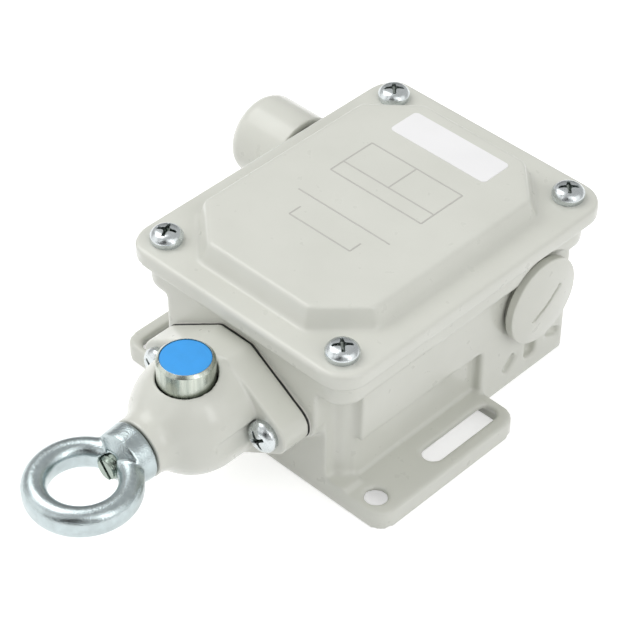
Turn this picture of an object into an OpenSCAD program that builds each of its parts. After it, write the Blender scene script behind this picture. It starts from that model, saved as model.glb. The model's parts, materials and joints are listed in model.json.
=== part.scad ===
// Rope pull switch: die-cast housing with a screwed cover, a bolted head that
// carries the sliding pull rod and the reset button, two cable entries and a
// contact block.  X runs across the switch, the rope pulls towards -Y, Z is up.
// The origin lies on the mounting face, midway between the four cover screws.

/* [Housing] */
// Width of the housing across its side walls
body_w = 60.8; // [59:0.2:66]
// Length of the housing between its end walls
body_l = 80; // [78:1:92]
// Thickness of the cast walls
wall = 3; // [2.6:0.1:3.4]
// Thickness of the floor over the mounting face
floor_t = 3; // [2.5:0.25:4]
// Height of the underside of the rim that carries the cover
rim_z = 34.1; // [33:0.1:36]
// Depth of that rim, from its underside to the cover joint
rim_h = 8.2; // [7:0.1:9]
// How far the rim stands out from the side walls
rim_step_x = 2.6; // [2.2:0.1:3.6]
// How far the rim stands out from the end walls
rim_step_y = 3.4; // [3.2:0.1:4.4]
// Radius under the outer edge of the rim
rim_soft = 2; // [1:0.25:3]
// Corner radius of the rim in plan
rim_r = 6; // [5:0.25:8]

/* [Feet] */
// How far the foot on the plug side reaches out from the side wall
foot_reach = 11.9; // [11:0.1:14]
// How far the foot on the gland side reaches out from the side wall
far_reach = 15.1; // [13.6:0.1:16]
// Length of each foot, from the front end wall backwards
foot_l = 48.5; // [46:0.5:60]
// Height of the feet
foot_h = 5.1; // [4.5:0.1:7]
// Thickness of the plate on top of each foot and of the skirt round it
foot_t = 1.6; // [1.4:0.1:2]
// Diameter of the round fixing hole
fix_d = 5.5; // [4.5:0.1:6]
// Distance of the round fixing hole from the front edge
fix_inset = 5; // [4.8:0.1:6.5]
// Distance of the fixing holes from the outer edge of the foot, plug side
fix_edge = 6.3; // [5.6:0.1:6.8]
// Distance of the fixing holes from the outer edge of the foot, gland side
far_edge = 6.1; // [5.6:0.1:7]
// Width of the long fixing slot
slot_w = 5.2; // [4.5:0.1:5.8]
// Length of the long fixing slot
slot_l = 24.2; // [16:0.2:27]
// Distance of the slot from the rear edge of the foot
slot_rear = 2.2; // [2:0.1:4]

/* [Cover] */
// How far the cover overhangs the rim all round
lid_over = 2.8; // [2:0.1:4]
// Thickness of the cover at its edge
lid_h = 4.5; // [4.2:0.1:6]
// Radius along the upper edge of the cover
lid_soft = 1.1; // [0.6:0.1:2]
// Height of the raised middle of the cover
crown_h = 5.2; // [2:0.2:8]
// How far the sides of the raised middle lean in
crown_lean = 2; // [0.5:0.25:4]
// Thickness of the cover over the contact space
lid_t = 2.6; // [2:0.2:3.2]
// Distance of the cover screws from the rim edge, across
screw_edge_x = 4.8; // [4.4:0.1:5.6]
// Distance of the cover screws from the rim edge, along
screw_edge_y = 4.4; // [4.2:0.1:5.6]
// Length of the cover screws under the head
lid_screw_l = 10; // [8:0.5:12]

/* [Head] */
// Height of the pull axis above the mounting face
axis_z = 24; // [23:0.5:25]
// Thickness of the gasket between head and housing
head_gasket_t = 0.8; // [0.4:0.1:1.2]
// Thickness of the head flange
flange_t = 7.8; // [6:0.2:9]
// Radius of the flange ears
ear_r = 5; // [4.8:0.1:6]
// Half the distance between the two head screws
ear_x = 17.3; // [17.1:0.1:19]
// Radius of the bell of the head
bell_r = 14.5; // [14:0.25:15.5]
// Length of the head from its gasket to the end of its neck
head_l = 31.5; // [31:0.5:34]
// Distance of the reset button from the back of the head
button_back = 15.8; // [14.5:0.2:16.5]
// Height of the flat that is machined round the reset button
button_seat = 12.4; // [11.8:0.2:13]

/* [Pull gear] */
// Diameter of the pull rod in its bush
rod_d = 8; // [7:0.25:9]
// Diameter of the rod at its thread and its waist
thread_d = 6; // [5:0.5:6]
// Outer diameter of the rope eye
eye_od = 27.6; // [26:0.2:32]
// Width of the bar that the rope eye is made of
eye_bar = 6; // [5:0.1:6.8]
// Thickness of that bar along the axis of the eye
eye_thick = 7.4; // [7:0.1:9]
// Diameter of the collar behind the eye
collar_d = 15; // [13:0.25:16]
// Travel of the pull rod
pull_travel = 8; // [4:0.5:8]

/* [Reset button] */
// Diameter of the reset button
button_d = 14; // [12:0.25:14.5]
// How far the button stands above its flat at rest
button_up = 5.4; // [5:0.2:7]
// Travel of the reset button
button_travel = 4; // [2:0.5:4]
// Diameter of the coloured disc in the button
disc_d = 12.2; // [9:0.1:12.4]

/* [Cable entries] */
// Distance of the two entries from the rear wall
entry_back = 14.4; // [14:0.2:16]
// Height of the entries above the mounting face
entry_z = 25.5; // [25:0.25:26]
// Diameter of the entry thread
entry_d = 19; // [16:0.5:20]
// Diameter of the blanking plug
plug_d = 23.3; // [22:0.1:24]
// Diameter of the cap nut of the cable gland
gland_d = 22.2; // [22:0.2:26]
// Reach of the cable gland from the side wall
gland_reach = 33.5; // [30:0.1:36]
// Largest cable that the gland takes
cable_d = 10; // [6:0.5:11]

/* [Contact block] */
// Width of the moulded contact block
block_w = 36; // [34:1:40]
// Free space between the contact block and the rear wall
block_rear = 4; // [3.5:0.25:6]
// Height of the moulded contact block
block_h = 22; // [21:0.5:22.5]
// Distance of the block behind the end of the pull rod
block_behind = 5; // [4.5:0.25:6]

/* [Fits] */
// Radial clearance of sliding fits
slide_gap = 0.05; // [0.03:0.01:0.1]
// Gap between parts that pass each other freely
free_gap = 0.4; // [0.3:0.05:0.6]

/* [Hidden] */
$fn = 48;
eps = 0.01;
paint = [0.84, 0.84, 0.81];
zinc = [0.78, 0.81, 0.83];
rubber = [0.12, 0.12, 0.12];

// Levels and overall plan sizes that follow from the driving ones.
rim_top = rim_z + rim_h;
lid_top = rim_top + lid_h;
rim_w = body_w + 2 * rim_step_x;
rim_l = body_l + 2 * rim_step_y;
lid_w = rim_w + 2 * lid_over;
lid_l = rim_l + 2 * lid_over;
wall_x = body_w / 2;
wall_y = body_l / 2;
wall_r = 1.6;
screw_x = rim_w / 2 - screw_edge_x;
screw_y = rim_l / 2 - screw_edge_y;

// Relief in the side walls above the feet, and the front corner notches.
relief_d = 2.3;
relief_z = 17.9;
relief_end = 0.8;
// Pockets behind the foot: Y, Z, length, height, tilt and depth of each.
arch_spots = [
  [18.8, 7.4, 5.2, 2.4, 48, 1.6],
  [26.6, 7.6, 4, 5.6, 0, 2.4],
  [35.2, 7.4, 5, 2.4, -24, 1.6]
];
notch = 6;
notch_z = foot_h + 0.9;
column_r = 3.2;
inner_w = body_w - 2 * wall;
inner_l = body_l - 2 * wall;

// Feet: the two reach out by different amounts.  Along a foot lies a row of
// holes, and on the gland side the same row of holes is turned end for end.
foot_r = 4.4;
foot_root = 5;
foot_mid = foot_l / 2 - wall_y;
fix_y = fix_inset - foot_l / 2;
slot_y = foot_l / 2 - slot_rear - slot_l / 2;
foot_rear = foot_l - wall_y;
relief_l = foot_l - notch - relief_end;
relief_y = (foot_rear - wall_y + notch - relief_end) / 2;

// Cover screws and head screws share one pan head.
pan_d = 7.8;
pan_h = 2.4;
pan_soft = 1.7;
pan_slot = 0.9;
pan_gap = 0.35;
pan_reach = 12;
screw_d = 4;
tap_d = 3.4;
hole_gap = 0.25;

// Cover details.
crown_w = 56.4;
crown_end = 7.1;
crown_l = lid_l - 2 * crown_end;
crown_cut = 11.6;
lid_corner = 1.5;
lid_land = 5.6;
cord_w = 2.2;
cord_h = 1.6;

// Head: every station is measured from its back face.
head_y = -rim_l / 2 - head_gasket_t;
flange_y = head_y - flange_t;
neck_y = head_y - head_l;
button_y = head_y - button_back;
bell_arc = 15.6;
shoulder = 17.2;
throat = 5.7;
bell_round = neck_y + shoulder;
bell_turn = neck_y + throat;
neck_arc = 6.1;
flange_half = 5;
flange_corner = 3;
ear_shift = 0.9;
pad_half = 24.4;

// Rod stations.
bush_l = 5;
bush_wall = 2;
wiper_l = 3;
fit_d = rod_d + 2 * slide_gap;
collar_y = neck_y - free_gap;
eye_ring_r = (eye_od - eye_bar) / 2;
eye_y = collar_y - 2.1 - eye_od / 2;
eye_flat = eye_thick - eye_bar;
collar_edge = 0.4;
collar_cone = 5;
collar_taper = 0.4;
collar_l = 7;
rod_past = 2.4;
rod_tip = eye_y + eye_od / 2 - eye_bar - rod_past;
fork_t = 2.2;
waist_front = button_y - fork_t;
waist_back = button_y + fork_t + pull_travel;
wall_in = -wall_y + wall;
spring_l = 17;
retainer_y = wall_in + spring_l;
retainer_t = 2;
retainer_d = 15;
rod_back = retainer_y + 6;
spring_wire = 1.3;
spring_turns = 4.75;
spring_d = 12.5;

// Reset button stations.
button_bore = button_d + 2 * slide_gap;
seat_z = axis_z + button_seat;
button_top = seat_z + button_up;
ledge_z = axis_z + rod_d / 2 + 0.6;
skirt_z = ledge_z + button_travel + 0.5;
skirt_t = 0.9;
roof_z = button_top - 2.6;
seal_z = seat_z - 3.2;
button_gap = 0.35;
button_gap_h = 1;
button_chamfer = 0.6;
disc_in = 0.8;
disc_t = 0.6;
disc_gap = 0.15;
seal_h = 1.6;
seal_t = 1;
fork_bore = 10.2;
fork_w = 9;
fork_root = 3;
pocket_z = axis_z - fork_root - button_travel - 2.5;
reset_wire = 0.7;
reset_turns = 3.75;

// Cable entries: a round flat in the rim clears the plug and the gland.
entry_y = wall_y - entry_back;
entry_clear = plug_d / 2 + 1.5;
plug_flange_x = wall_x + 1.3;
plug_flange_t = 2.2;
plug_dome = 1.4;
thread_gap = 0.15;
entry_in = wall_x - wall - 2;
gland_foot = wall_x + 0.8;
gland_end = wall_x + gland_reach;
nut_l = 17.6;
nut_start = gland_end - nut_l;
gland_face = nut_start - 2.4;
gland_round = 4;
gland_hex = 20;
gland_hex_l = 6;
gland_neck_d = 17.6;
gland_lip = 2.6;
gland_seal_t = 1.2;
gland_seal_l = 13;
gland_seal_head = 6;
gland_seal_gap = 0.6;
coin_w = 1;
coin_depth = 1.1;
coin_tilt = 35;
plug_rim = 0.6;
plug_seal_in = 1.3;

// Contact block: a trough with a terminal shelf along each side.  It fills the
// length from the end of the rod to the rear wall, and its contacts follow it.
slide_w = 12;
bridge_first = 8;
slide_h = 11;
slide_gap_z = 0.3;
slide_y0 = rod_back;
rod_hold = 4;
block_y0 = rod_back + block_behind;
block_l = wall_y - wall - block_rear - block_y0;
block_y = block_y0 + block_l / 2;
bridge_pitch = block_l / 3;
slide_rear = 13;
slide_l = bridge_first + bridge_pitch + block_behind + slide_rear;
block_top = floor_t + block_h;
trough_z = axis_z - slide_h / 2 - slide_gap_z;
trough_x = 13.2;
guide_t = 2.4;
bridge_w = 20;
bridge_t = 1;
bridge_h = 5;
bridge_ys = [block_y0 + bridge_first, block_y0 + bridge_first + bridge_pitch];
window_l = 6;
contact_gap = 0.3;
guide_y = 2.6;
contact_wire = 0.5;
contact_spring_d = 3.6;
tab_t = 1;
tab_in = 2.4;
tab_h = 4.4;
tab_root = 0.3;
plate_t = 1;
plate_l = 7;
clamp_w = 4.2;
clamp_l = 5.4;
clamp_t = 1.2;
shelf_x = trough_x + 2.1;
terminal_y = 3.9;
small_r = 1.5;
small_head_r = 2.1;
small_head_h = 1.8;
small_slot = 0.7;
small_hole = small_r + 0.1;
small_grip = 1.8;
block_spots = [
  [-shelf_x, block_y0 + 4],
  [shelf_x, block_y0 + block_l - 4]
];
earth_x = 17;
earth_y = -25;
earth_boss_h = 5;
earth_plate = 8.6;
earth_plate_t = 1.4;

// ---- Shared shapes -------------------------------------------------------

// Rectangle with round corners, centred.
module round_rect(w, l, r) {
  square([w - 2 * r, l], center = true);
  square([w, l - 2 * r], center = true);
  for (sx = [-1, 1], sy = [-1, 1])
    translate([sx * (w / 2 - r), sy * (l / 2 - r)]) circle(r);
}

// Rectangle with its corners cut off at 45 degrees, centred.
module cut_rect(w, l, c) {
  x = w / 2;
  y = l / 2;
  polygon([
    [x, y - c], [x - c, y], [c - x, y], [-x, y - c],
    [-x, c - y], [c - x, -y], [x - c, -y], [x, c - y]
  ]);
}

// Right half of the section of a slab whose outer edges are rounded.
module soft_half(reach, h, low, high) {
  square([reach - max(low, high), h]);
  translate([0, low]) square([reach, h - low - high]);
  if (low > 0) translate([reach - low, low]) circle(low);
  if (high > 0) translate([reach - high, h - high]) circle(high);
}

// Slab with round corners in plan and rounded lower and upper edges:
// two crossing bars and a quarter turn at each corner.
module soft_slab(w, l, h, r, low, high) {
  for (turn = [0:3]) {
    sx = (turn == 0 || turn == 3) ? 1 : -1;
    sy = turn < 2 ? 1 : -1;
    translate([sx * (w / 2 - r), sy * (l / 2 - r), 0])
      rotate([0, 0, 90 * turn]) rotate_extrude(angle = 90) soft_half(r, h, low, high);
  }
  translate([0, l / 2 - r, 0]) rotate([90, 0, 0]) linear_extrude(l - 2 * r) {
    soft_half(w / 2, h, low, high);
    mirror([1, 0]) soft_half(w / 2, h, low, high);
  }
  translate([r - w / 2, 0, 0]) rotate([90, 0, 90]) linear_extrude(w - 2 * r) {
    soft_half(l / 2, h, low, high);
    mirror([1, 0]) soft_half(l / 2, h, low, high);
  }
}

// An outline in X and Z, extruded along Y from y0.
module along_y(y0, l) {
  translate([0, y0 + l, axis_z]) rotate([90, 0, 0]) linear_extrude(l) children();
}

// A section of radius and Y, turned about the pull axis.
module spin_y() {
  translate([0, 0, axis_z]) rotate([-90, 0, 0]) rotate_extrude() children();
}

// Round bar on a line parallel to the pull axis.
module bar_y(x, y0, l, r) {
  translate([x, y0, axis_z]) rotate([-90, 0, 0]) cylinder(h = l, r = r);
}

// A section of radius and X distance, turned about one of the entry axes.
module spin_entry(side) {
  translate([0, entry_y, entry_z]) rotate([0, side * 90, 0]) rotate_extrude() children();
}

// Ring section from inner to outer radius, between two stations.
module ring_section(inner, outer, a, b) {
  translate([inner, a]) square([outer - inner, b - a]);
}

// Pan head with a rounded top, its seat at zero, and a cross recess in it.
module pan_head() {
  difference() {
    rotate_extrude() {
      square([pan_d / 2 - pan_soft, pan_h]);
      square([pan_d / 2, pan_h - pan_soft]);
      intersection() {
        translate([pan_d / 2 - pan_soft, pan_h - pan_soft]) circle(pan_soft);
        square([pan_d / 2, pan_h]);
      }
    }
    for (a = [0, 90]) rotate([0, 0, a])
      translate([0, 0, pan_h]) cube([4.6, pan_slot, 2.4], center = true);
  }
}

// Machine screw with a pan head, its seat at zero and its shank below.
module pan_screw(l) {
  pan_head();
  translate([0, 0, -l]) cylinder(h = l + eps, r = screw_d / 2 - hole_gap);
}

// Wire along a helix about Z: a ring of points swept on by a constant pitch.
module coil(mean_d, wire, turns, l) {
  sides = 8;
  steps = ceil(turns * 20);
  pitch = (l - wire) / turns;
  ring = [for (i = [0:steps], k = [0:sides - 1])
    let(a = 360 * turns * i / steps, b = 360 * k / sides, r = mean_d / 2 + wire / 2 * cos(b))
    [r * cos(a), r * sin(a), wire / 2 + pitch * turns * i / steps + wire / 2 * sin(b)]];
  side = [for (i = [0:steps - 1], k = [0:sides - 1])
    let(n = (k + 1) % sides)
    [i * sides + k, (i + 1) * sides + k, (i + 1) * sides + n, i * sides + n]];
  first = [[for (k = [0:sides - 1]) k]];
  last = [[for (k = [sides - 1:-1:0]) steps * sides + k]];
  polyhedron(ring, concat(side, first, last), convexity = 6);
}

// ---- Housing -------------------------------------------------------------

// Walls in plan: the two front corners are notched round a column each.
module notched_plan() {
  difference() {
    round_rect(body_w, body_l, wall_r);
    for (s = [-1, 1])
      translate([s * wall_x, -wall_y]) square(2 * notch, center = true);
  }
  for (s = [-1, 1])
    translate([s * (wall_x - notch - 0.3), notch + 0.3 - wall_y]) circle(column_r);
}

// Space inside the housing, its corners kept solid behind the notches.
module inner_plan(w) {
  square([w, inner_l - 2 * notch], center = true);
  square([inner_w - 2 * notch, inner_l], center = true);
}

// Reach of a foot, and the line of its holes.
function foot_out(side) = side > 0 ? foot_reach : far_reach;
function fix_x(side) = wall_x + foot_out(side) - (side > 0 ? fix_edge : far_edge);

// Outline of a foot, grown by a negative amount for its hollow underside.
module foot_plan(side, grow) {
  reach = foot_out(side) + foot_root + grow;
  translate([side * (wall_x - foot_root + reach / 2), foot_mid])
    round_rect(reach, foot_l + 2 * grow, foot_r + grow);
}

// A foot: top plate and skirt, hollow below.
module foot(side) {
  difference() {
    linear_extrude(foot_h) foot_plan(side, 0);
    difference() {
      translate([0, 0, -eps]) linear_extrude(foot_h - foot_t) foot_plan(side, -foot_t);
      translate([0, 0, foot_h / 2]) cube([body_w, 2 * body_l, 2 * foot_h], center = true);
    }
  }
}

// Holes through a foot: one round hole and one long slot.
module foot_holes(side) translate([side * fix_x(side), foot_mid, -eps]) {
  translate([0, side * fix_y, 0]) cylinder(h = foot_h + 1, r = fix_d / 2);
  translate([0, side * slot_y, 0]) linear_extrude(foot_h + 1) {
    square([slot_w, slot_l - slot_w], center = true);
    for (e = [-1, 1]) translate([0, e * (slot_l - slot_w) / 2]) circle(slot_w / 2);
  }
}

// Outline of the head flange: four corners round the bell and an ear each side,
// joined by the lines that touch both.  The ears lie a little outside their screws.
function unit(a) = [cos(a), sin(a)];
function touch_line(c1, r1, c2, r2) =
  let(d = c2 - c1, a = atan2(d[1], d[0]) + acos((r1 - r2) / norm(d)))
  [c1 + r1 * unit(a), c2 + r2 * unit(a)];
module flange_outline(grow) {
  corner = [flange_half - 1, bell_r - flange_corner];
  side = touch_line(corner, flange_corner + grow, [ear_x + ear_shift, 0], ear_r + grow);
  q = [[corner[0], bell_r + grow], side[0], side[1]];
  polygon(concat(
    q,
    [for (i = [2:-1:0]) [q[i][0], -q[i][1]]],
    [for (i = [0:2]) [-q[i][0], -q[i][1]]],
    [for (i = [2:-1:0]) [-q[i][0], q[i][1]]]
  ));
  for (sx = [-1, 1]) {
    translate([sx * (ear_x + ear_shift), 0]) circle(ear_r + grow);
    for (sz = [-1, 1])
      translate([sx * corner[0], sz * corner[1]]) circle(flange_corner + grow);
  }
}

// Pad on the front wall that the head is bolted to.
module head_pad() {
  along_y(-rim_l / 2, rim_step_y + 1) {
    flange_outline(0.8);
    translate([-pad_half, 0]) square([2 * pad_half, rim_z + 1 - axis_z]);
  }
}

// Pockets in the rear of the near side wall, below the entry: two across the
// ends of an arch and a square one between them.
module arch_pockets() {
  for (p = arch_spots)
    translate([wall_x, p[0], p[1]]) rotate([p[4], 0, 0]) cube([2 * p[5], p[2], p[3]], center = true);
}

module housing() color(paint) {
  difference() {
    union() {
      linear_extrude(notch_z) round_rect(body_w, body_l, wall_r);
      translate([0, 0, notch_z - eps]) linear_extrude(rim_z + 1 - notch_z) notched_plan();
      translate([0, 0, rim_z]) soft_slab(rim_w, rim_l, rim_h, rim_r, rim_soft, 0);
      foot(1);
      foot(-1);
      head_pad();
    }
    // Contact space, narrower beside the reliefs.
    translate([0, 0, floor_t]) linear_extrude(rim_top) inner_plan(inner_w - 2 * relief_d);
    translate([0, 0, relief_z + 2]) linear_extrude(rim_top) inner_plan(inner_w);
    for (side = [-1, 1]) {
      // Relief above the foot.
      translate([side * (wall_x + 5 - relief_d), relief_y, (foot_h + relief_z) / 2])
        cube([10, relief_l, relief_z - foot_h], center = true);
      foot_holes(side);
      // Threaded entries, with a round flat cut up into the rim.
      translate([0, entry_y, entry_z]) rotate([0, side * 90, 0]) {
        cylinder(h = body_w, r = entry_d / 2 + thread_gap);
        translate([0, 0, wall_x]) cylinder(h = 10, r = entry_clear);
      }
      // Tapped holes for the head screws.
      bar_y(side * ear_x, -rim_l / 2 - eps, rim_step_y + wall - 0.6, tap_d / 2 + hole_gap);
      // Tapped holes for the cover screws.
      for (end = [-1, 1])
        translate([side * screw_x, end * screw_y, rim_top - lid_screw_l + lid_h - 0.5])
          cylinder(h = lid_screw_l, r = tap_d / 2 + hole_gap);
    }
    arch_pockets();
    // Passage for the pull rod.
    bar_y(0, -rim_l / 2 - eps, rim_step_y + wall + 1, rod_d / 2 + free_gap);
    // Tapped holes for the block screws.
    for (p = block_spots) translate([p[0], p[1], floor_t - 2]) cylinder(h = 3, r = small_r + hole_gap);
  }
  // Boss for the earth terminal.
  translate([earth_x, earth_y, floor_t - eps]) difference() {
    cylinder(h = earth_boss_h, r = 4.5);
    translate([0, 0, 1]) cylinder(h = earth_boss_h, r = tap_d / 2 + hole_gap);
  }
}

// ---- Cover ---------------------------------------------------------------

// Raised middle with leaning sides: four crossing prisms cut each other.
module crown(w, l, cut, h, lean) {
  diagonal = (w / 2 + l / 2 - cut) / sqrt(2);
  intersection_for (side = [[w / 2, 0], [l / 2, 90], [diagonal, 45], [diagonal, -45]])
    rotate([0, 0, side[1]]) translate([0, lid_l, 0]) rotate([90, 0, 0]) linear_extrude(2 * lid_l)
      polygon([[-side[0], 0], [side[0], 0], [side[0] - lean, h], [lean - side[0], h]]);
}

// Ring that the cover seal fills, between the contact space and the screws.
module seal_ring(gap) {
  w = inner_w + 5.2;
  l = inner_l + 5.2;
  keep = (screw_x + screw_y) / sqrt(2) - 3.5;
  cut = w / 2 + l / 2 - sqrt(2) * keep;
  t = cord_w / 2 + gap;
  slope = 2 - sqrt(2);
  difference() {
    cut_rect(w + 2 * t, l + 2 * t, cut + slope * t);
    cut_rect(w - 2 * t, l - 2 * t, cut - slope * t);
  }
}

module cover() color(paint) difference() {
  union() {
    translate([0, 0, rim_top]) soft_slab(lid_w, lid_l, lid_h, rim_r + lid_corner, 0, lid_soft);
    translate([0, 0, lid_top - eps]) crown(crown_w, crown_l, crown_cut, crown_h, crown_lean);
  }
  // Hollow over the contact space.
  translate([0, 0, rim_top - eps]) linear_extrude(lid_h - lid_t) inner_plan(inner_w - 1);
  translate([0, 0, lid_top - lid_t - 2 * eps])
    crown(crown_w - 2 * lid_t, crown_l - 2 * lid_t - 2 * lid_land, crown_cut, crown_h, crown_lean);
  translate([0, 0, rim_top - eps]) linear_extrude(cord_h + eps) seal_ring(0);
  for (sx = [-1, 1], sy = [-1, 1])
    translate([sx * screw_x, sy * screw_y, rim_top - eps])
      cylinder(h = lid_h + 1, r = screw_d / 2 + hole_gap);
}

module cover_gasket() color(rubber)
  translate([0, 0, rim_top]) linear_extrude(cord_h) seal_ring(0);

module cover_screws() color(zinc)
  for (sx = [-1, 1], sy = [-1, 1])
    translate([sx * screw_x, sy * screw_y, lid_top]) pan_screw(lid_screw_l);

// ---- Head ----------------------------------------------------------------

// Outline of the bell in radius and Y: straight, then a round shoulder, then
// a hollow throat that runs into the neck.
module bell_section() {
  turn_r = sqrt(pow(bell_arc, 2) - pow(bell_round - bell_turn, 2)) - bell_arc + bell_r;
  steep = asin((bell_round - bell_turn) / bell_arc);
  ring_section(0, bell_r, bell_round - eps, head_y);
  intersection() {
    translate([bell_r - bell_arc, bell_round]) circle(bell_arc);
    ring_section(0, bell_r, bell_turn, bell_round);
  }
  difference() {
    ring_section(0, turn_r, neck_y, bell_turn + eps);
    translate([turn_r + neck_arc * cos(steep), bell_turn - neck_arc * sin(steep)]) circle(neck_arc);
  }
}

module head_casting() color(paint) difference() {
  union() {
    along_y(flange_y, flange_t) flange_outline(0);
    spin_y() bell_section();
  }
  // Socket for the button, wider at its mouth, with a pocket for its fork.
  translate([0, button_y, seat_z - button_gap_h]) cylinder(h = bell_r, r = button_d / 2 + button_gap);
  translate([0, button_y, ledge_z]) cylinder(h = bell_r, r = button_bore / 2);
  translate([0, button_y, pocket_z]) cylinder(h = 2 * bell_r, r = fork_bore / 2);
  translate([0, button_y, seal_z]) cylinder(h = seal_h, r = button_bore / 2 + seal_t);
  // Rod passage, bush seat and wiper seat.
  bar_y(0, neck_y - 1, head_l + 2, rod_d / 2 + free_gap);
  bar_y(0, neck_y - eps, wiper_l + bush_l + eps, rod_d / 2 + bush_wall);
  // Screw holes in the ears, with a flat seat cut into the bell.
  for (side = [-1, 1]) {
    bar_y(side * ear_x, flange_y - 1, flange_t + 2, screw_d / 2 + hole_gap);
    bar_y(side * ear_x, flange_y - pan_reach, pan_reach, pan_d / 2 + pan_gap);
  }
}

module head_gasket() color(rubber) difference() {
  union() {
    along_y(head_y, head_gasket_t) flange_outline(0);
    bar_y(0, head_y, head_gasket_t, bell_r - 1);
  }
  bar_y(0, head_y - 1, head_gasket_t + 2, rod_d / 2 + free_gap);
  for (side = [-1, 1])
    bar_y(side * ear_x, head_y - 1, head_gasket_t + 2, screw_d / 2 + hole_gap);
}

module head_screws() color(zinc)
  for (side = [-1, 1]) translate([side * ear_x, flange_y, axis_z]) rotate([90, 0, 0])
    pan_screw(flange_t + head_gasket_t + rim_step_y + 2);

module rod_bush() color([0.72, 0.55, 0.30])
  spin_y() ring_section(fit_d / 2, rod_d / 2 + bush_wall, neck_y + wiper_l, neck_y + wiper_l + bush_l);

module rod_wiper() color(rubber)
  spin_y() {
    ring_section(rod_d / 2 + 0.6, rod_d / 2 + bush_wall, neck_y, neck_y + wiper_l);
    ring_section(fit_d / 2, rod_d / 2 + bush_wall, neck_y + 1.8, neck_y + wiper_l);
  }

// ---- Pull gear -----------------------------------------------------------

module pull_rod() color(zinc) difference() {
  spin_y() {
    ring_section(0, thread_d / 2, rod_tip, slide_y0 + rod_hold);
    ring_section(0, rod_d / 2, collar_y, waist_front);
    ring_section(0, rod_d / 2, waist_back, retainer_y);
    ring_section(0, rod_d / 2, retainer_y + retainer_t, rod_back);
  }
  // Screwdriver slot in the threaded end.
  translate([0, rod_tip, axis_z]) cube([1, 2.4, rod_d], center = true);
}

module rod_retainer() color(zinc)
  spin_y() ring_section(thread_d / 2, retainer_d / 2, retainer_y, retainer_y + retainer_t);

// Rope eye: a bar bent to a ring, on a conical collar that screws on to the rod.
module eye_nut() color(zinc) difference() {
  union() {
    translate([0, eye_y, axis_z]) rotate_extrude() translate([eye_ring_r, 0]) {
      square([eye_bar, eye_flat], center = true);
      for (s = [-1, 1]) translate([0, s * eye_flat / 2]) circle(eye_bar / 2);
    }
    spin_y() polygon([
      [0, collar_y], [collar_d / 2 - collar_edge, collar_y], [collar_d / 2, collar_y - collar_edge],
      [collar_d / 2 - collar_taper, collar_y - collar_cone],
      [eye_thick / 2 + collar_edge, collar_y - collar_l], [0, collar_y - collar_l]
    ]);
  }
  bar_y(0, eye_y, eye_od / 2 + 5, thread_d / 2 + thread_gap);
}

module rod_spring() color([0.5, 0.5, 0.52])
  translate([0, wall_in, axis_z]) rotate([-90, 0, 0])
    coil(spring_d - spring_wire, spring_wire, spring_turns, spring_l);

// ---- Reset button --------------------------------------------------------

module reset_button() color(zinc) translate([0, button_y, 0]) difference() {
  rotate_extrude() {
    polygon([
      [0, roof_z], [button_d / 2 - skirt_t, roof_z], [button_d / 2 - skirt_t, skirt_z],
      [button_d / 2, skirt_z], [button_d / 2, button_top - button_chamfer],
      [button_d / 2 - button_chamfer, button_top], [0, button_top]
    ]);
  }
  translate([0, 0, button_top - disc_in]) cylinder(h = 2, r = disc_d / 2 + disc_gap);
}

module reset_disc() color([0.26, 0.65, 0.95])
  translate([0, button_y, button_top - disc_in]) cylinder(h = disc_t, r = disc_d / 2);

// Fork that hangs from the button and straddles the waist of the rod.
module reset_fork() color(zinc) translate([0, button_y, 0]) {
  crotch_z = axis_z + thread_d / 2 + button_travel + free_gap;
  prong_z = axis_z - fork_root;
  difference() {
    translate([0, 0, (prong_z + roof_z) / 2]) cube([fork_w, fork_t, roof_z - prong_z], center = true);
    translate([0, 0, prong_z])
      cube([thread_d + 2 * free_gap, fork_t + 1, 2 * (crotch_z - prong_z)], center = true);
  }
}

module reset_seal() color(rubber)
  translate([0, button_y, seal_z]) rotate_extrude()
    ring_section(button_bore / 2, button_bore / 2 + seal_t, 0, seal_h);

module reset_spring() color([0.5, 0.5, 0.52])
  translate([0, button_y, ledge_z]) coil(fork_bore + 2 * free_gap, reset_wire, reset_turns, roof_z - ledge_z);

// ---- Cable entries -------------------------------------------------------

module blanking_plug() color(paint) difference() {
  face = plug_flange_x + plug_flange_t;
  dome_r = (pow(plug_d / 2 - plug_rim, 2) + pow(plug_dome, 2)) / (2 * plug_dome);
  spin_entry(1) {
    ring_section(0, entry_d / 2, entry_in, plug_flange_x + eps);
    ring_section(0, plug_d / 2, plug_flange_x, face);
    intersection() {
      translate([0, face + plug_dome - dome_r]) circle(dome_r, $fn = 96);
      ring_section(0, plug_d / 2, face - eps, face + plug_dome);
    }
  }
  // Coin slot across the dome.
  translate([face + plug_dome, entry_y, entry_z]) rotate([coin_tilt, 0, 0])
    cube([2 * coin_depth, plug_d / 2, coin_w], center = true);
}

module plug_seal() color(rubber)
  spin_entry(1) ring_section(entry_d / 2 + thread_gap, plug_d / 2 - plug_seal_in, wall_x, plug_flange_x);

module gland_body() color(paint) difference() {
  union() {
    spin_entry(-1) {
      ring_section(0, entry_d / 2, entry_in, gland_foot + eps);
      ring_section(0, gland_d / 2, gland_foot + gland_hex_l, gland_face);
      ring_section(0, gland_neck_d / 2, gland_face - eps, gland_end - gland_seal_head);
    }
    translate([-gland_foot, entry_y, entry_z]) rotate([0, -90, 0])
      cylinder(h = gland_hex_l + eps, r = gland_hex / sqrt(3), $fn = 6);
  }
  translate([-gland_end, entry_y, entry_z]) rotate([0, 90, 0])
    cylinder(h = gland_reach + 10, r = cable_d / 2 + gland_seal_t);
}

module gland_washer() color(rubber)
  spin_entry(-1) ring_section(entry_d / 2 + thread_gap, gland_hex / 2, wall_x, gland_foot);

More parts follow.
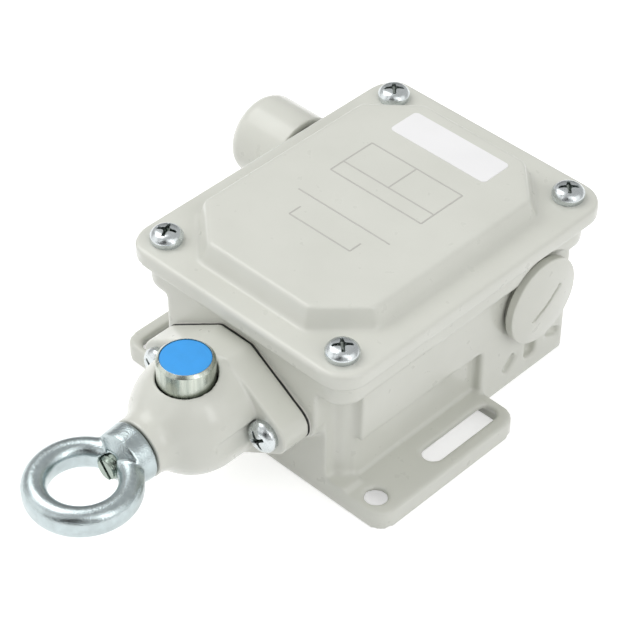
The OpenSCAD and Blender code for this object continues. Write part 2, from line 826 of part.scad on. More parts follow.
module gland_seal() color(rubber)
  spin_entry(-1) {
    ring_section(cable_d / 2, cable_d / 2 + gland_seal_t, gland_end - gland_seal_l, gland_end - gland_lip);
    ring_section(
      cable_d / 2, gland_neck_d / 2 - gland_seal_gap, gland_end - gland_seal_head, gland_end - gland_lip
    );
  }

module gland_nut() color(paint) spin_entry(-1) difference() {
  union() {
    ring_section(0, gland_d / 2, nut_start, gland_end - gland_round);
    ring_section(0, gland_d / 2 - gland_round, nut_start, gland_end);
    translate([gland_d / 2 - gland_round, gland_end - gland_round]) circle(gland_round);
  }
  ring_section(-1, gland_neck_d / 2 + thread_gap, nut_start - 1, gland_end - gland_lip);
  ring_section(-1, cable_d / 2, nut_start, gland_end + 1);
}

// ---- Contact block -------------------------------------------------------

// Guide that spans the trough, with a window for the slide.
module slide_guide(y) {
  arch_w = slide_w + 2 * free_gap + 4;
  arch_top = axis_z + slide_h / 2 + 2.5;
  translate([0, y + guide_t / 2, 0]) difference() {
    union() {
      translate([0, 0, (trough_z + block_top) / 2 - 0.5])
        cube([2 * trough_x + 1, guide_t, block_top - trough_z + 1], center = true);
      translate([0, 0, (trough_z + arch_top) / 2])
        cube([arch_w, guide_t, arch_top - trough_z], center = true);
    }
    translate([0, 0, axis_z])
      cube([slide_w + 2 * free_gap, guide_t + 1, slide_h + 2 * slide_gap_z], center = true);
  }
}

// Cheese-head screw with a slot, its seat at zero.
module slot_screw(l) {
  difference() {
    cylinder(h = small_head_h, r = small_head_r);
    translate([0, 0, small_head_h]) cube([3 * small_head_r, small_slot, 2 * small_slot], center = true);
  }
  translate([0, 0, -l]) cylinder(h = l + eps, r = small_r);
}

module block_base() color([0.16, 0.16, 0.17]) difference() {
  union() {
    difference() {
      translate([0, block_y, (floor_t + block_top) / 2]) cube([block_w, block_l, block_h], center = true);
      translate([0, block_y, trough_z + block_h / 2])
        cube([2 * trough_x, block_l + 1, block_h], center = true);
    }
    for (y = bridge_ys) slide_guide(y + guide_y);
  }
  for (p = block_spots) translate([p[0], p[1], 0]) cylinder(h = 2 * block_top, r = small_r + hole_gap);
}

module block_screws() color(zinc)
  for (p = block_spots)
    translate([p[0], p[1], block_top]) slot_screw(block_h + small_grip);

module contact_slide() color([0.92, 0.92, 0.88]) difference() {
  translate([0, slide_y0 + slide_l / 2, axis_z]) cube([slide_w, slide_l, slide_h], center = true);
  for (y = bridge_ys)
    translate([0, y + bridge_t / 2 - window_l / 2, axis_z])
      cube([slide_w + 1, window_l, bridge_h + 1], center = true);
  bar_y(0, slide_y0 - 1, rod_hold + 1 + slide_gap, thread_d / 2 + slide_gap);
}

// Contact bars that the slide carries across the trough.
module moving_contacts() color([0.85, 0.62, 0.35])
  for (y = bridge_ys)
    translate([0, y, axis_z]) cube([bridge_w, bridge_t, bridge_h], center = true);

module contact_springs() color([0.5, 0.5, 0.52])
  for (y = bridge_ys)
    translate([0, y + bridge_t / 2 - window_l, axis_z]) rotate([-90, 0, 0])
      coil(contact_spring_d, contact_wire, 4, window_l - bridge_t);

// Stations of the four terminals, from the middle of each contact bar.
module at_terminals() {
  for (s = [-1, 1], y = bridge_ys)
    translate([s * shelf_x, y + bridge_t / 2 + contact_gap, block_top]) children();
}

// Fixed contacts: a tab in the path of the bar and a plate under the terminal.
module fixed_contacts() color([0.85, 0.62, 0.35]) {
  tab_x = bridge_w / 2 - tab_in;
  for (s = [-1, 1], y = bridge_ys) translate([0, y + bridge_t / 2 + contact_gap + tab_t / 2, block_top]) {
    translate([s * (tab_x + trough_x + tab_root) / 2, 0, plate_t / 2])
      cube([trough_x + tab_root - tab_x, tab_t, plate_t], center = true);
    translate([s * (tab_x + trough_x) / 2, 0, plate_t - tab_h / 2])
      cube([trough_x - tab_x, tab_t, tab_h], center = true);
  }
  at_terminals() difference() {
    translate([trough_x - shelf_x, 0, 0]) cube([2 * (shelf_x - trough_x), plate_l, plate_t]);
    translate([0, terminal_y, -1]) cylinder(h = plate_t + 2, r = small_hole);
  }
}

module terminal_clamps() color([0.8, 0.8, 0.78])
  at_terminals() translate([0, terminal_y, plate_t + clamp_t / 2]) difference() {
    cube([clamp_w, clamp_l, clamp_t], center = true);
    cylinder(h = clamp_t + 1, r = small_hole, center = true);
  }

module terminal_screws() color(zinc)
  at_terminals() translate([0, terminal_y, plate_t + clamp_t]) slot_screw(plate_t + clamp_t);

module earth_terminal() color([0.80, 0.66, 0.35])
  translate([earth_x, earth_y, floor_t + earth_boss_h - eps]) {
    difference() {
      translate([0, 0, earth_plate_t / 2]) cube([earth_plate, earth_plate, earth_plate_t], center = true);
      cylinder(h = 4, r = screw_d / 2 - hole_gap - eps, center = true);
    }
    translate([0, 0, earth_plate_t]) pan_screw(earth_boss_h - 1);
  }

housing();
cover();
cover_gasket();
cover_screws();
head_casting();
head_gasket();
head_screws();
rod_bush();
rod_wiper();
pull_rod();
rod_retainer();
eye_nut();
rod_spring();
reset_button();
reset_disc();
reset_fork();
reset_seal();
reset_spring();
blanking_plug();
plug_seal();
gland_body();
gland_washer();
gland_seal();
gland_nut();
block_base();
block_screws();
contact_slide();
moving_contacts();
contact_springs();
fixed_contacts();
terminal_screws();
terminal_clamps();
earth_terminal();
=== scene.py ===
"""Looks of a rope pull switch: painted castings, plated fasteners, rubber seals."""

import json
import math

import bmesh
import bpy
import numpy as np
from mathutils import Matrix, Vector


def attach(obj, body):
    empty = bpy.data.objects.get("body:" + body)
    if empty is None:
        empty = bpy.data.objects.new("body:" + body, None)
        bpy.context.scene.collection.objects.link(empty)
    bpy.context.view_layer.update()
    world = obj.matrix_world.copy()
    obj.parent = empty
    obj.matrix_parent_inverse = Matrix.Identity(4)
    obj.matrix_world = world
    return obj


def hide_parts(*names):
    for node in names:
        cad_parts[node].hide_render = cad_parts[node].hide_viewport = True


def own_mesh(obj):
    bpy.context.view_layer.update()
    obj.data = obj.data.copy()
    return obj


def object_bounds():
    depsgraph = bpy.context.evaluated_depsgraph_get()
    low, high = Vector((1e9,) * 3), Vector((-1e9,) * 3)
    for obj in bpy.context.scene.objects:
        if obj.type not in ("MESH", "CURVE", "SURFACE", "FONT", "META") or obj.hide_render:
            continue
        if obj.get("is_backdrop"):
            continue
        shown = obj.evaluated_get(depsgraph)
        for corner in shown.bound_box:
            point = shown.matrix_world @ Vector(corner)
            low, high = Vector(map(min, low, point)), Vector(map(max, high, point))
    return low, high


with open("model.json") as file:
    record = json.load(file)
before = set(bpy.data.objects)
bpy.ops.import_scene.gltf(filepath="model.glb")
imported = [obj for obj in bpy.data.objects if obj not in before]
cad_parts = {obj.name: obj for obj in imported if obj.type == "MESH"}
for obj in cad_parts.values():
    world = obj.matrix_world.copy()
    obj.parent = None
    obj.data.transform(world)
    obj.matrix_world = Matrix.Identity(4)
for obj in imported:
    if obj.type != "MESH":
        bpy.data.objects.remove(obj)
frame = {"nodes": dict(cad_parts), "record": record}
NODES = frame["nodes"]
MM = 0.001


def write_size(moment, sizes):
    low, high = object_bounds()
    sizes[moment] = {"low_m": list(low), "high_m": list(high)}


SIZES = {}
write_size("loaded", SIZES)


# ---- Node helpers --------------------------------------------------------


class Finish:
    """A node material with one Principled shader, built from a few short calls."""

    def __init__(self, name):
        self.material = bpy.data.materials.new(name)
        self.material.use_nodes = True
        self.tree = self.material.node_tree
        self.shader = self.tree.nodes["Principled BSDF"]
        coords = self.tree.nodes.new("ShaderNodeTexCoord")
        self.place = coords.outputs["Object"]

    def node(self, kind, **values):
        made = self.tree.nodes.new(kind)
        for key, value in values.items():
            setattr(made, key, value)
        return made

    def link(self, source, target):
        self.tree.links.new(source, target)
        return target

    def stretched(self, scale):
        """Object coordinates multiplied by a factor along each axis."""
        mapping = self.node("ShaderNodeMapping")
        mapping.inputs["Scale"].default_value = scale
        self.link(self.place, mapping.inputs["Vector"])
        return mapping.outputs["Vector"]

    def noise(self, grain_mm, detail=2.0, rough=0.5, along=None):
        """Noise whose features are about grain_mm across."""
        made = self.node("ShaderNodeTexNoise")
        made.inputs["Scale"].default_value = 1 / (grain_mm * MM)
        made.inputs["Detail"].default_value = detail
        made.inputs["Roughness"].default_value = rough
        self.link(along or self.place, made.inputs["Vector"])
        return made.outputs["Fac"]

    def ramp(self, value, low, high, out_low, out_high):
        """Maps value from low..high to out_low..out_high, held at the ends."""
        made = self.node("ShaderNodeMapRange", clamp=True)
        self.link(value, made.inputs["Value"])
        made.inputs["From Min"].default_value = low
        made.inputs["From Max"].default_value = high
        made.inputs["To Min"].default_value = out_low
        made.inputs["To Max"].default_value = out_high
        return made.outputs["Result"]

    def blend(self, factor, first, second):
        """Colour mix of first and second by factor; either may be a socket."""
        made = self.node("ShaderNodeMix", data_type="RGBA")
        self.link(factor, made.inputs[0])
        for socket, colour in ((made.inputs[6], first), (made.inputs[7], second)):
            if isinstance(colour, tuple):
                socket.default_value = (*colour, 1)
            else:
                self.link(colour, socket)
        return made.outputs[2]

    def bumps(self, layers):
        """Stacks bump layers of (height, depth in mm, strength)."""
        normal = None
        for height, depth, strength in layers:
            made = self.node("ShaderNodeBump")
            made.inputs["Strength"].default_value = strength
            made.inputs["Distance"].default_value = depth * MM
            self.link(height, made.inputs["Height"])
            if normal is not None:
                self.link(normal, made.inputs["Normal"])
            normal = made.outputs["Normal"]
        self.link(normal, self.shader.inputs["Normal"])

    def set(self, **values):
        for key, value in values.items():
            self.shader.inputs[key.replace("_", " ")].default_value = value


def painted_casting():
    """Warm grey paint over a die casting: orange peel, soft waves and fine dust."""
    f = Finish("painted_casting")
    cloud = f.ramp(f.noise(22, 3), 0.3, 0.7, 0, 1)
    paint = f.blend(cloud, (0.640, 0.648, 0.590), (0.682, 0.690, 0.632))
    dust = f.ramp(f.noise(0.9, 4, 0.7), 0.66, 0.78, 0, 0.07)
    f.link(f.blend(dust, paint, (0.56, 0.55, 0.50)), f.shader.inputs["Base Color"])
    f.link(f.ramp(f.noise(3.5, 3), 0.3, 0.7, 0.27, 0.37), f.shader.inputs["Roughness"])
    f.bumps([(f.noise(7, 2), 0.22, 0.25), (f.noise(0.75, 2), 0.04, 0.3)])
    f.set(Specular_IOR_Level=0.35, Coat_Weight=0.45, Coat_Roughness=0.14)
    return f.material


def plated_steel(name, tint, rough, grain=(0.5, 0.03, 0.3)):
    """Zinc plate: bluish metal with fine clouds and drawing marks, with painted shade:
    the colour turns dark grey where the point attribute marking a recess is one."""
    f = Finish(name)
    cloud = f.ramp(f.noise(2.2, 4), 0.3, 0.7, 0, 1)
    metal = f.blend(cloud, tuple(c * 0.86 for c in tint), tint)
    painted_recess_shade = f.node("ShaderNodeAttribute", attribute_name="painted_recess_shade").outputs["Fac"]
    # Painted shade: dark grey blended in by the recess attribute, standing for the shade inside the
    # cross recess.
    f.link(f.blend(painted_recess_shade, metal, (0.30, 0.33, 0.31)), f.shader.inputs["Base Color"])
    f.link(f.ramp(f.noise(0.8, 4), 0.3, 0.7, rough * 0.75, rough * 1.3), f.shader.inputs["Roughness"])
    size, depth, strength = grain
    f.bumps([(f.noise(size, 3), depth, strength)])
    f.set(Metallic=1.0)
    return f.material


def streaked_steel(name, light, dark, rough):
    """Plated bar stock with upright streaks in its colour: drawing marks, and painted reflection
    bands such as a polished round side shows.
    """
    f = Finish(name)
    upright = f.stretched((1, 1, 0.06))
    # Upright dark and light streaks in the colour: partly drawing marks, partly painted reflection
    # bands.
    drawing_and_reflection_streak = f.ramp(f.noise(1.3, 3, 0.6, upright), 0.35, 0.65, 0, 1)
    f.link(f.blend(drawing_and_reflection_streak, dark, light), f.shader.inputs["Base Color"])
    uneven = f.ramp(f.noise(0.7, 3, 0.5, upright), 0.3, 0.7, rough * 0.7, rough * 1.3)
    f.link(uneven, f.shader.inputs["Roughness"])
    f.bumps([(f.noise(0.5, 2, 0.5, upright), 0.02, 0.25)])
    f.set(Metallic=1.0)
    return f.material


def moulded(name, tint, rough, grain_mm=0.5):
    """Moulded rubber or plastic with a fine even grain."""
    f = Finish(name)
    cloud = f.ramp(f.noise(5, 3), 0.3, 0.7, 0, 1)
    f.link(f.blend(cloud, tuple(c * 0.88 for c in tint), tint), f.shader.inputs["Base Color"])
    uneven = f.ramp(f.noise(grain_mm, 2), 0.3, 0.7, rough * 0.85, rough * 1.15)
    f.link(uneven, f.shader.inputs["Roughness"])
    f.bumps([(f.noise(grain_mm, 2), 0.02, 0.25)])
    return f.material


def sticker(name, tint):
    """Printed film: an even colour with a very faint weave of the paper under it."""
    f = Finish(name)
    cloud = f.ramp(f.noise(9, 2), 0.3, 0.7, 0, 1)
    f.link(f.blend(cloud, tuple(c * 0.975 for c in tint), tint), f.shader.inputs["Base Color"])
    f.link(f.ramp(f.noise(2, 2), 0.3, 0.7, 0.42, 0.5), f.shader.inputs["Roughness"])
    return f.material


def gasket_edge():
    """Rubber gasket whose rear edge carries paint from the wall behind it."""
    f = Finish("gasket_edge")
    split = f.node("ShaderNodeSeparateXYZ")
    f.link(f.place, split.inputs[0])
    wavy = f.node("ShaderNodeMath", operation="MULTIPLY_ADD")
    f.link(f.noise(3, 2), wavy.inputs[0])
    wavy.inputs[1].default_value = 0.35 * MM
    f.link(split.outputs["Y"], wavy.inputs[2])
    painted = f.ramp(wavy.outputs[0], -43.75 * MM, -43.6 * MM, 0, 1)
    f.link(f.blend(painted, (0.02, 0.02, 0.019), (0.60, 0.60, 0.56)), f.shader.inputs["Base Color"])
    f.link(f.ramp(f.noise(0.6, 2), 0.3, 0.7, 0.5, 0.65), f.shader.inputs["Roughness"])
    return f.material


CASTING = painted_casting()
ZINC = plated_steel("plated_steel", (0.66, 0.70, 0.71), 0.24)
FORGED = plated_steel("forged_steel", (0.50, 0.57, 0.58), 0.13, (0.34, 0.12, 0.6))
ROD_STEEL = plated_steel("rod_steel", (0.34, 0.40, 0.35), 0.26)
BUTTON_STEEL = streaked_steel("button_steel", (0.55, 0.585, 0.52), (0.40, 0.44, 0.39), 0.24)
SPRING = plated_steel("spring_steel", (0.40, 0.40, 0.42), 0.35)
BRASS = plated_steel("turned_brass", (0.75, 0.55, 0.25), 0.3)
CONTACT = plated_steel("contact_metal", (0.75, 0.48, 0.25), 0.3)
BLUE = moulded("blue_disc", (0.040, 0.372, 0.900), 0.35)
RUBBER = moulded("seal_rubber", (0.016, 0.016, 0.015), 0.6)
GREY_RUBBER = moulded("grey_rubber", (0.30, 0.30, 0.27), 0.6)
BLACK = moulded("black_moulding", (0.02, 0.02, 0.022), 0.45)
IVORY = moulded("ivory_moulding", (0.72, 0.72, 0.66), 0.4)
LABEL = sticker("bare_label", (0.88, 0.88, 0.885))
INK = sticker("ruling_ink", (0.50, 0.495, 0.46))

FINISH_OF = {
    "painted_casting": CASTING,
    "zinc_steel": ZINC,
    "spring_steel": SPRING,
    "bush_brass": BRASS,
    "contact_metal": CONTACT,
    "blue_cap": BLUE,
    "seal_rubber": RUBBER,
    "block_plastic": BLACK,
    "slide_plastic": IVORY,
}
OWN_FINISH = {"head_gasket": gasket_edge(), "plug_seal": GREY_RUBBER}
for part in frame["record"]["subparts"]:
    dressed = NODES[part["node"]]
    finish = OWN_FINISH.get(part["node"], FINISH_OF[part["material_slot"]])
    dressed.data.materials.clear()
    dressed.data.materials.append(finish)


# ---- Pieces ----------------------------------------------------------------


def put(name, mesh, material, body):
    """Links a piece at the origin, gives it its finish and the body it rides on."""
    piece = bpy.data.objects.new(name, mesh)
    bpy.context.scene.collection.objects.link(piece)
    mesh.materials.clear()
    mesh.materials.append(material)
    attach(piece, body)
    return piece


def smooth_faces(mesh, angle=180.0):
    """Shades every face smooth, keeping edges sharper than the angle."""
    mesh.polygons.foreach_set("use_smooth", np.ones(len(mesh.polygons), dtype=bool))
    if angle < 180:
        mesh.set_sharp_from_angle(angle=math.radians(angle))


def merged_mesh(node):
    """A copy of a CAD node's mesh with its loose triangles joined."""
    mesh = NODES[node].data.copy()
    work = bmesh.new()
    work.from_mesh(mesh)
    bmesh.ops.remove_doubles(work, verts=work.verts, dist=1e-6)
    work.to_mesh(mesh)
    work.free()
    return mesh


def relaxed(mesh, rounds, share):
    """Moves each point half of the way, times its share, to the mean of its neighbours,
    a number of rounds.  `share` is one value or one for each point."""
    count = len(mesh.vertices)
    places = np.empty(count * 3)
    mesh.vertices.foreach_get("co", places)
    places = places.reshape(-1, 3)
    ends = np.empty(len(mesh.edges) * 2, dtype=np.int64)
    mesh.edges.foreach_get("vertices", ends)
    first, second = ends.reshape(-1, 2).T
    here, there = np.concatenate([first, second]), np.concatenate([second, first])
    neighbours = np.bincount(here, minlength=count)[:, None]
    step = 0.5 * np.broadcast_to(share, count)[:, None]
    for _ in range(rounds):
        sums = [np.bincount(here, weights=places[there, axis], minlength=count) for axis in range(3)]
        places += step * (np.stack(sums, axis=-1) / neighbours - places)
    mesh.vertices.foreach_set("co", places.ravel())
    mesh.update()
    return places


def softened(node, voxel_mm, rounds, body="housing", finish=CASTING,
             high_rounds=0, high_mm=0.0, shift=None):
    """Stands for a cast or forged node with its edges worn round: the shape is cast
    again from small cells and relaxed.  Above a height it may be relaxed further, and
    `shift` may move its points."""
    rough = bpy.data.objects.new(node + "_rough", merged_mesh(node))
    bpy.context.scene.collection.objects.link(rough)
    cells = rough.modifiers.new("cells", "REMESH")
    cells.mode = "VOXEL"
    cells.voxel_size = voxel_mm * MM
    solved = rough.evaluated_get(bpy.context.evaluated_depsgraph_get())
    mesh = bpy.data.meshes.new_from_object(solved)
    mesh.name = node + "_soft"
    bpy.data.objects.remove(rough)
    places = relaxed(mesh, rounds, 1.0)
    if high_rounds:
        share = np.clip((places[:, 2] / MM - high_mm) / 0.5, 0, 1)
        places = relaxed(mesh, high_rounds, share)
    if shift is not None:
        mesh.vertices.foreach_set("co", (shift(places / MM) * MM).ravel())
        mesh.update()
    smooth_faces(mesh)
    piece = put(node + "_soft", mesh, finish, body)
    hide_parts(node)


FULLER = 1.7


def fuller_far_side(places):
    """The raised middle of the cover reaches further out on its -X side: x falls by
    FULLER mm times a share that grows from x = -14 to -26, fades from -30 to -34.5, and
    grows with height from z = 45.5 to 46.7."""
    out, high = -places[:, 0], places[:, 2]
    share = np.clip((out - 14) / 12, 0, 1) * np.clip((34.5 - out) / 4.5, 0, 1)
    moved = places.copy()
    moved[:, 0] -= FULLER * share * np.clip((high - 45.5) / 1.2, 0, 1)
    return moved


def grid_mesh(name, points, close_u=True):
    """A mesh from a grid of points, rows along v and columns along u, closed round u."""
    rows, columns = points.shape[:2]
    index = np.arange(rows * columns).reshape(rows, columns)
    beside = np.roll(index, -1, axis=1)
    if not close_u:
        index, beside = index[:, :-1], beside[:, :-1]
    quads = np.stack([index[:-1], beside[:-1], beside[1:], index[1:]], axis=-1)
    mesh = bpy.data.meshes.new(name)
    mesh.from_pydata(points.reshape(-1, 3).tolist(), [], quads.reshape(-1, 4).tolist())
    return mesh


def tidy(mesh, dist_mm=0.002):
    """Merges the points of closed poles and turns all faces outwards."""
    work = bmesh.new()
    work.from_mesh(mesh)
    bmesh.ops.remove_doubles(work, verts=work.verts, dist=dist_mm * MM)
    bmesh.ops.dissolve_degenerate(work, edges=work.edges, dist=1e-8)
    bmesh.ops.recalc_face_normals(work, faces=work.faces)
    work.to_mesh(mesh)
    work.free()
    return mesh


def joined(meshes, name):
    """One mesh from several."""
    work = bmesh.new()
    for mesh in meshes:
        work.from_mesh(mesh)
    whole = bpy.data.meshes.new(name)
    work.to_mesh(whole)
    work.free()
    return whole


def placed(points, at, axis, turn=0.0):
    """Carries points made round +Z to a seat at `at`, pointing along `axis`, after a
    turn about their own axis.  Their X stays level with the world's X where it can."""
    way = Vector(axis).normalized()
    aside = Vector((1, 0, 0)) if abs(way.x) < 0.9 else Vector((0, 1, 0))
    level = (aside - way * aside.dot(way)).normalized()
    basis = Matrix((level, way.cross(level), way)).transposed()
    return points @ np.array(basis @ Matrix.Rotation(turn, 3, "Z")).T + np.array(at)


PAN_R, PAN_H, PAN_SEAT, SHANK_R = 4.0, 3.3, 2.4, 1.75
# Cross recess: half-width of a wing, what the root adds and how far, the run of its
# walls, the reach of a wing and its fade, and the depth with its fall along the wing.
WING_HALF, ROOT_ADDS, ROOT_REACH, WALL_RUN = 0.40, 0.30, 1.2, 0.12
WING_REACH, WING_FADE, RECESS_DEEP, RECESS_RISE = 2.45, 0.35, 2.6, 0.65


def pan_screw_mesh(name, at, axis, length, turn):
    """Pan head screw with a cross recess.  Radius runs from the middle of the top out
    over a dome (height = H (1 - 0.14 s^2 - 0.32 s^6), s the share of the radius), down the
    side and in under the head to the shank.  Each wing of the recess sinks the top by a
    depth that fades along the wing and falls steeply at its tapering half-width."""
    turns = np.linspace(0, 2 * np.pi, 193)[:-1]
    edge = PAN_R - 0.1
    top = np.linspace(0, 1, 52) ** 0.85 * edge
    u, v = np.meshgrid(turns, top)
    x, y = v * np.cos(u), v * np.sin(u)
    share = v / edge
    z = PAN_H * (1 - 0.14 * share ** 2 - 0.32 * share ** 6)
    sink = np.zeros_like(z)
    for along, across in ((np.abs(x), np.abs(y)), (np.abs(y), np.abs(x))):
        half = WING_HALF + ROOT_ADDS * np.clip(1 - along / ROOT_REACH, 0, 1)
        wall = np.clip((half - across) / WALL_RUN, 0, 1)
        fade = np.clip((WING_REACH - along) / WING_FADE, 0, 1)
        depth = fade * (RECESS_DEEP - RECESS_RISE * along)
        sink = np.maximum(sink, wall * depth)
    z = z - sink
    rows = [np.stack([x, y, z], axis=-1)]
    for r, h in ((PAN_R, 1.6), (PAN_R + 0.02, 1.2), (PAN_R, 0.6), (PAN_R - 0.2, 0.0),
                 (SHANK_R, 0.0), (SHANK_R, -length), (0.0, -length)):
        ring = np.stack([r * np.cos(turns), r * np.sin(turns), np.full_like(turns, h)], axis=-1)
        rows.append(ring[None])
    whole = np.concatenate(rows)
    mesh = grid_mesh(name, placed(whole * MM, at, axis, turn))
    # Painted shade for the cross recess: one where a wing sinks 0.9 mm or more, less where it is
    # shallower, nothing on the dome and side.
    painted_recess_shade = np.zeros(whole.shape[:2])
    painted_recess_shade[:len(sink)] = np.clip(sink / 0.9, 0, 1)
    mesh.attributes.new("painted_recess_shade", "FLOAT", "POINT").data.foreach_set("value", painted_recess_shade.ravel())
    return tidy(mesh)


def screw_seats(node, axis):
    """Places of the screws of a CAD node: the middle of each island of its mesh, at the
    level where the head sits, which lies one head height below the outer end."""
    mesh = merged_mesh(node)
    work = bmesh.new()
    work.from_mesh(mesh)
    way = Vector(axis)
    seats = []
    left = set(work.verts)
    while left:
        island, edge = set(), [left.pop()]
        while edge:
            vert = edge.pop()
            island.add(vert)
            for link in vert.link_edges:
                other = link.other_vert(vert)
                if other in left:
                    left.discard(other)
                    edge.append(other)
        spots = [v.co for v in island]
        low = Vector([min(p[i] for p in spots) for i in range(3)])
        high = Vector([max(p[i] for p in spots) for i in range(3)])
        middle = (low + high) / 2
        reach = max(p.dot(way) for p in spots)
        seats.append(middle + way * (reach - PAN_SEAT * MM - middle.dot(way)))
    work.free()
    return sorted(seats, key=lambda p: (round(p.x, 4), round(p.y, 4)))


def make_screws(node, axis, length, turns):
    """Replaces a node of pan head screws by screws with a true cross recess."""
    meshes = []
    for number, seat in enumerate(screw_seats(node, axis)):
        meshes.append(pan_screw_mesh(f"{node}_{number}", seat, axis, length, turns[number]))
    whole = joined(meshes, node + "_pan")
    smooth_faces(whole, 40)
    piece = put(node + "_pan", whole, ZINC, "housing")
    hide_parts(node)


def rounded(outline, radius, steps=5):
    """An outline of (radius, height) corners with each inner corner worn to a curve:
    between two points at most `radius` from the corner runs the parabola
    (1-s)^2 a + 2 s (1-s) corner + s^2 b."""
    corners = np.array(outline, dtype=float)
    s = np.linspace(0, 1, steps)[:, None]
    points = [corners[:1]]
    for before, corner, after in zip(corners[:-2], corners[1:-1], corners[2:]):
        ends = []
        for other in (before, after):
            gap = np.linalg.norm(other - corner)
            ends.append(corner + (other - corner) / gap * min(radius, 0.45 * gap))
        points.append((1 - s) ** 2 * ends[0] + 2 * s * (1 - s) * corner + s ** 2 * ends[1])
    points.append(corners[-1:])
    return np.concatenate(points)


def turned(name, profile, at, axis, columns=128, shape=None):
    """A turned piece: the profile of (radius, height) in mm swept round the axis.
    `shape` may change the x, y, z arrays of the swept points before they are placed."""
    turns = np.linspace(0, 2 * np.pi, columns + 1)[:-1]
    radius, height = np.array(profile, dtype=float).T
    x = radius[:, None] * np.cos(turns)
    y = radius[:, None] * np.sin(turns)
    z = np.repeat(height[:, None], columns, axis=1)
    if shape is not None:
        x, y, z = shape(x, y, z, turns)
    points = placed(np.stack([x, y, z], axis=-1) * MM, at, axis)
    mesh = tidy(grid_mesh(name, points))
    smooth_faces(mesh, 40)
    return mesh


ROD_AT = (0, -0.010, 0.024)
ROD_LENGTH = 75.2
ROD_FACE = ROD_LENGTH - 0.35
THREAD_R, THREAD_FROM = 2.95, 70
SLOT_TURN = math.radians(-52)


def rod_profile():
    """Stations of the pull rod from its inner end to the slotted tip, where the rows
    are close enough to carry the thread."""
    outline = [(0, 0), (3, 0), (3, 4), (4, 4), (4, 8), (3, 8), (3, 10), (4, 10), (4, 39.8),
               (3, 39.8), (3, 52.2), (4, 52.2), (4, 66.1), (THREAD_R, 66.1), (THREAD_R, THREAD_FROM)]
    body = rounded(outline, 0.3, 4)
    thread = np.linspace(70.1, ROD_FACE - 0.05, 66)
    end = np.linspace(1, 0, 46)[:, None] ** 0.9 * (2.55, 0) + (0, ROD_LENGTH)
    return np.concatenate([body, np.stack([np.full_like(thread, THREAD_R), thread], axis=-1), end])


def rod_thread(x, y, z, turns):
    """Thread on the last stretch (radius falls by a triangle wave of height and turn)
    and a driver slot sunk across the end face."""
    pitch, deep = 1.0, 0.42
    wave = np.abs(((z / pitch - turns / (2 * np.pi)) % 1) * 2 - 1)
    zone = np.clip((z - THREAD_FROM) / 0.5, 0, 1) * (z < ROD_FACE)
    run_out = np.clip((z - ROD_FACE + 0.85) / 0.8, 0, 1) * (z < ROD_FACE)
    factor = 1 - zone * np.maximum(wave * deep, run_out * 0.45) / THREAD_R
    x, y = x * factor, y * factor
    across = np.abs(x * math.sin(SLOT_TURN) - y * math.cos(SLOT_TURN))
    slot = np.clip((0.52 - across) / 0.06, 0, 1) * (z > ROD_FACE)
    return x, y, z - 1.3 * slot


def strip(start, end, width, rise, z):
    """A printed line from start to end on the cover: a low rounded ridge whose height
    is rise * (1 - t^2) across its width."""
    start, end = np.array(start, dtype=float), np.array(end, dtype=float)
    way = (end - start) / np.linalg.norm(end - start)
    side = np.array([-way[1], way[0]])
    t = np.linspace(-1, 1, 7)
    along = np.linspace(0, 1, 25)
    plan = start + along[:, None, None] * (end - start) + t[None, :, None] * side * width / 2
    height = np.broadcast_to(z + rise * (1 - t ** 2), plan.shape[:2])
    points = np.concatenate([plan, height[..., None]], axis=-1)
    return grid_mesh("strip", points * MM, close_u=False)


CROWN_TOP = 52.0
RULES = [
    ((-14.9, 16.6), (14.1, 16.6)), ((-14.9, 2.1), (14.1, 2.1)), ((-14.9, 2.1), (-14.9, 16.6)),
    ((14.1, 2.1), (14.1, 16.6)), ((-14.9, 6.6), (14.1, 6.6)), ((-0.4, 6.6), (-0.4, 16.6)),
    ((-15.2, -8.5), (14.1, -8.5)), ((-10.2, -16.65), (9.1, -16.65)),
    ((-10.2, -16.65), (-10.2, -12.9)), ((9.1, -16.65), (9.1, -12.9)),
]


def label_mesh(low, high, corner, thick):
    """A bare sticker: rings of one round-cornered outline, shrunk towards the middle,
    then turned down over a soft edge to the cover."""
    half = np.array([(high[0] - low[0]) / 2, (high[1] - low[1]) / 2])
    middle = np.array([(high[0] + low[0]) / 2, (high[1] + low[1]) / 2])
    angle = np.linspace(0, 2 * np.pi, 129)[:-1]
    way = np.stack([np.cos(angle), np.sin(angle)], axis=-1)
    core = np.sign(np.round(way, 6)) * (half - corner)

    def ring(shrink, z):
        plan = (core + way * corner) * shrink + middle
        return np.concatenate([plan, np.full((len(plan), 1), z)], axis=-1)

    rows = [ring(k, CROWN_TOP + thick) for k in (0.0, 0.3, 0.6, 0.9, 0.985, 0.993)]
    rows.append(ring(0.998, CROWN_TOP + 0.7 * thick))
    rows.append(ring(1.0, CROWN_TOP + 0.2 * thick))
    rows.append(ring(1.0, CROWN_TOP - 0.05))
    mesh = tidy(grid_mesh("label", np.array(rows) * MM))
    smooth_faces(mesh, 50)
    return mesh


def coil_that_closes(node):
    """A coil spring standing on the housing with its low end, as a piece of its own
    with a copy of the node's mesh."""
    mesh = merged_mesh(node)
    smooth_faces(mesh, 40)
    piece = put(node + "_coil", mesh, SPRING, "housing")
    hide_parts(node)
    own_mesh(piece)


# Castings and forgings with worn edges, then the screws with a true recess.
softened("housing", 0.64, 1)
softened("cover", 0.48, 4, high_rounds=5, high_mm=46.9, shift=fuller_far_side)
softened("head_casting", 0.28, 7)
softened("blanking_plug", 0.25, 3)
softened("gland_body", 0.3, 3)
softened("gland_nut", 0.3, 3)
softened("eye_nut", 0.25, 6, "pull_train", FORGED)
make_screws("cover_screws", (0, 0, 1), 10.0, (0.45, 0.79, 0.85, 0.79))
make_screws("head_screws", (0, -1, 0), 13.0, (0.9, 0.6))

